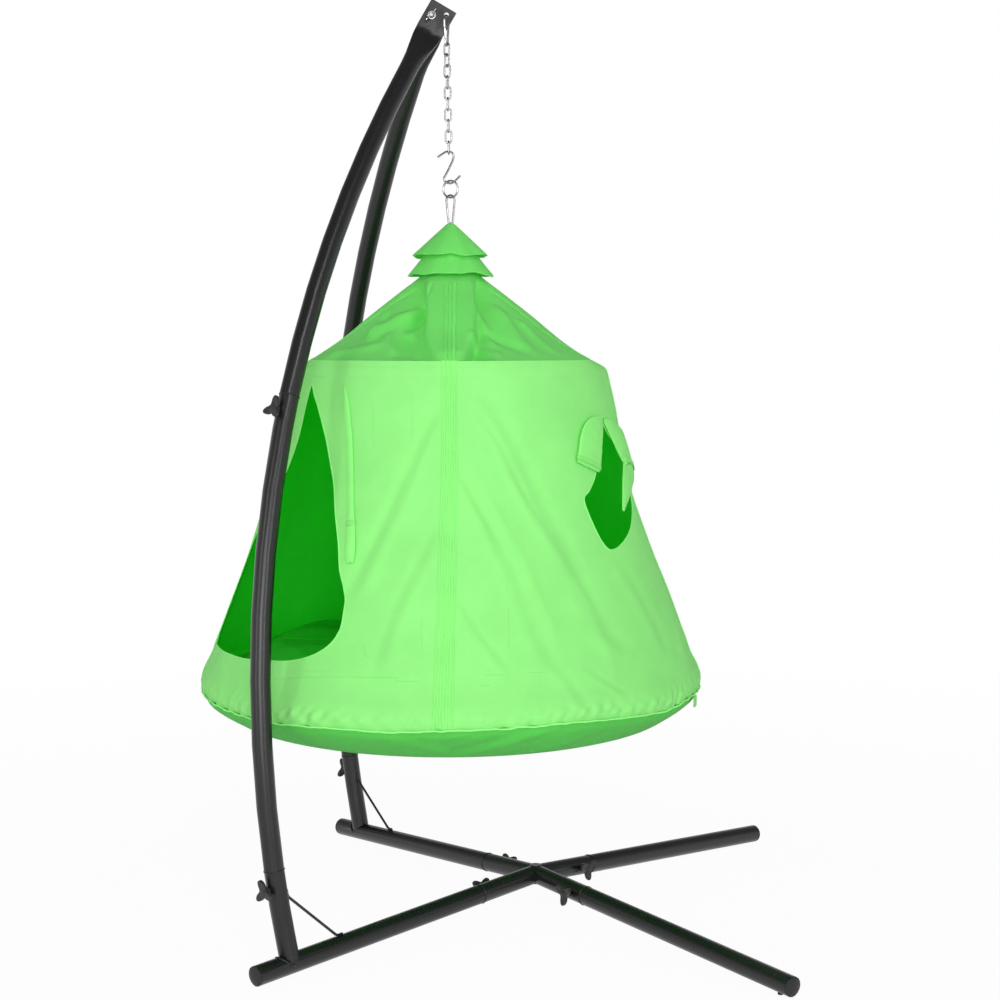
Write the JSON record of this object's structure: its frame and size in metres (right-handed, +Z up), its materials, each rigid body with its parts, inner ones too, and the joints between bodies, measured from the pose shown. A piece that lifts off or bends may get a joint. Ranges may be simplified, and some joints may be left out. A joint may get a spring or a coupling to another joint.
{
  "type": "hanging tent on a stand",
  "caption": "Child's bell-shaped cloth tent with a padded floor, a door and a window, hung by a chain from two bent arms on a flat cross of tube legs.",
  "frame": {"origin": "on the floor in the middle of the whole part", "axes": "+Z up, +Y to the back, so that the door and window face -Y; the two arms lean over from the -X side and the stand is symmetric about y = 0"},
  "size_m": [1.2494, 1.1521, 1.9503],
  "materials": {
    "frame_black": "satin black powder coat",
    "plug_black": "matte",
    "knob_black": "satin",
    "zinc": "bright zinc plating",
    "cloth_green": "plain weave",
    "roof_green": "plain weave",
    "base_green": "plain weave",
    "tape_green": "ribbed tape",
    "cushion_green": "plain weave, padded",
    "webbing_green": "webbing"
  },
  "bodies": {
    "stand": {"cross_joint": "frame_black", "leg_front_left": "frame_black", "leg_back_left": "frame_black", "leg_front_right": "frame_black", "leg_back_right": "frame_black", "end_plug_front_left": "plug_black", "end_plug_back_left": "plug_black", "end_plug_front_right": "plug_black", "end_plug_back_right": "plug_black", "foot_glide": "plug_black", "lower_arm_front": "frame_black", "lower_arm_back": "frame_black", "upper_arm_front": "frame_black", "upper_arm_back": "frame_black", "plate_bolt": "zinc", "washer_front": "zinc", "washer_back": "zinc"},
    "knob_leg_front_left": {"knob_leg_front_left": "knob_black"},
    "knob_leg_back_left": {"knob_leg_back_left": "knob_black"},
    "knob_leg_front_right": {"knob_leg_front_right": "knob_black"},
    "knob_leg_back_right": {"knob_leg_back_right": "knob_black"},
    "knob_arm_front_low": {"knob_arm_front_low": "knob_black"},
    "knob_arm_front_high": {"knob_arm_front_high": "knob_black"},
    "knob_arm_back_low": {"knob_arm_back_low": "knob_black"},
    "knob_arm_back_high": {"knob_arm_back_high": "knob_black"},
    "wing_nut": {"wing_nut": "zinc"},
    "upper_snap": {"upper_snap_body": "zinc"},
    "upper_gate": {"upper_snap_gate": "zinc"},
    "chain": {"chain": "zinc"},
    "tent": {"s_hook": "zinc", "ring": "zinc", "lower_snap_body": "zinc", "top_strap": "webbing_green", "top_cap": "roof_green", "second_cap": "roof_green", "roof": "roof_green", "wall_front_left": "cloth_green", "wall_front_right": "cloth_green", "wall_back_left": "cloth_green", "wall_back_right": "cloth_green", "base_band": "base_green", "floor": "base_green", "base_piping": "tape_green", "eave_hoop": "frame_black", "base_hoop": "frame_black", "seam_tape_front": "tape_green", "seam_tape_right": "tape_green", "seam_tape_back": "tape_green", "seam_tape_left": "tape_green", "cushion": "cushion_green", "door_roll": "cloth_green", "window_roll_left": "cloth_green", "window_roll_right": "cloth_green", "door_tie": "webbing_green", "window_tie_left": "webbing_green", "window_tie_right": "webbing_green", "strap_tab": "webbing_green"},
    "lower_gate": {"lower_snap_gate": "zinc"}
  },
  "joints": [
    {"name": "hook_swing", "type": "hinge", "parent": "stand", "child": "upper_snap", "pos_m": [-0.09249, 0, 1.91641], "axis": [0, -1, 0], "range_deg": [-0.8, 9]},
    {"name": "upper_gate_hinge", "type": "hinge", "parent": "upper_snap", "child": "upper_gate", "pos_m": [-0.09459, -0.00648, 1.86725], "axis": [-0.9511, 0.309, 0], "range_deg": [0, 8], "stiffness_Nm_per_rad": 0.02, "springref_deg": -17.19},
    {"name": "chain_sway", "type": "hinge", "parent": "upper_snap", "child": "chain", "pos_m": [-0.09207, 0, 1.8551], "axis": [1, 0, 0], "range_deg": [-0.9, 0.9]},
    {"name": "tent_spin", "type": "hinge", "parent": "chain", "child": "tent", "pos_m": [-0.08487, 0, 1.62], "axis": [0, 0, 1], "range_deg": [-180, 180], "deforming": ["chain"]},
    {"name": "lower_gate_hinge", "type": "hinge", "parent": "tent", "child": "lower_gate", "pos_m": [-0.08969, -0.00477, 1.49181], "axis": [-0.7071, 0.7071, 0], "range_deg": [0, 20], "stiffness_Nm_per_rad": 0.02, "springref_deg": -17.19},
    {"name": "knob_leg_front_left_turn", "type": "hinge", "parent": "stand", "child": "knob_leg_front_left", "pos_m": [-0.00541, -0.08477, 0.06127], "axis": [-0.7401, 0.6725, 0], "continuous": true},
    {"name": "knob_leg_back_left_turn", "type": "hinge", "parent": "stand", "child": "knob_leg_back_left", "pos_m": [0.0242, 0.11167, 0.06127], "axis": [0.7401, 0.6725, 0], "continuous": true},
    {"name": "knob_leg_front_right_turn", "type": "hinge", "parent": "stand", "child": "knob_leg_front_right", "pos_m": [0.17311, -0.1117, 0.06179], "axis": [-0.7401, -0.6725, 0], "continuous": true},
    {"name": "knob_leg_back_right_turn", "type": "hinge", "parent": "stand", "child": "knob_leg_back_right", "pos_m": [0.20269, 0.08477, 0.06127], "axis": [0.7401, -0.6725, 0], "continuous": true},
    {"name": "knob_arm_front_low_turn", "type": "hinge", "parent": "stand", "child": "knob_arm_front_low", "pos_m": [-0.39196, -0.52237, 0.17635], "axis": [-0.6475, -0.7544, -0.1079], "continuous": true},
    {"name": "knob_arm_front_high_turn", "type": "hinge", "parent": "stand", "child": "knob_arm_front_high", "pos_m": [-0.38695, -0.39943, 1.09839], "axis": [-0.6442, -0.6968, 0.3152], "continuous": true},
    {"name": "knob_arm_back_low_turn", "type": "hinge", "parent": "stand", "child": "knob_arm_back_low", "pos_m": [-0.39196, 0.52237, 0.17635], "axis": [-0.6475, 0.7544, -0.1079], "continuous": true},
    {"name": "knob_arm_back_high_turn", "type": "hinge", "parent": "stand", "child": "knob_arm_back_high", "pos_m": [-0.38695, 0.39943, 1.09839], "axis": [-0.6442, 0.6968, 0.3152], "continuous": true},
    {"name": "wing_nut_turn", "type": "hinge", "parent": "stand", "child": "wing_nut", "pos_m": [-0.12351, -0.0103, 1.9159], "axis": [0, -1, 0], "continuous": true}
  ]
}
